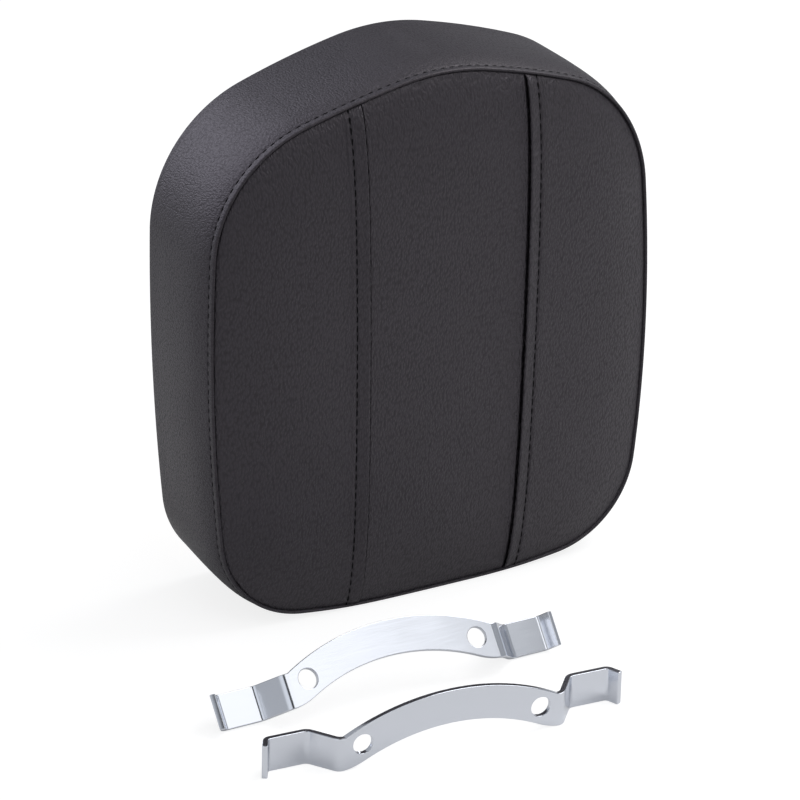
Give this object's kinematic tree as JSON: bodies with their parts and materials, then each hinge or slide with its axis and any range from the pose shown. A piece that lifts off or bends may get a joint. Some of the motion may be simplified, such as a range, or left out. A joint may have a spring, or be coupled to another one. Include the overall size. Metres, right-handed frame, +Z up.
{
  "type": "sissy bar pad",
  "caption": "Upholstered motorbike backrest pad with a crowned three-panel face, boxed sides, a board with threaded inserts, and loose bent strap brackets.",
  "frame": {"origin": "middle of the flat that the pad stands on, below the middle of the pad", "axes": "+X to the right as seen from the face, +Y from the face to the board, +Z up"},
  "size_m": [0.3163, 0.2405, 0.305],
  "materials": {
    "cover_vinyl": "grained vinyl, low sheen",
    "foam": "open cell foam",
    "plywood": "sanded",
    "plated_steel": "zinc plated",
    "bracket_chrome": "bright plated"
  },
  "bodies": {
    "root": {"face_panel_left": "cover_vinyl", "face_panel_centre": "cover_vinyl", "face_panel_right": "cover_vinyl", "side_band": "cover_vinyl", "foam_core": "foam", "base_board": "plywood", "cover_staples": "plated_steel", "tee_nut_1": "plated_steel", "tee_nut_2": "plated_steel", "tee_nut_3": "plated_steel", "tee_nut_4": "plated_steel", "bracket_front": "bracket_chrome", "bracket_rear": "bracket_chrome"}
  },
  "joints": []
}
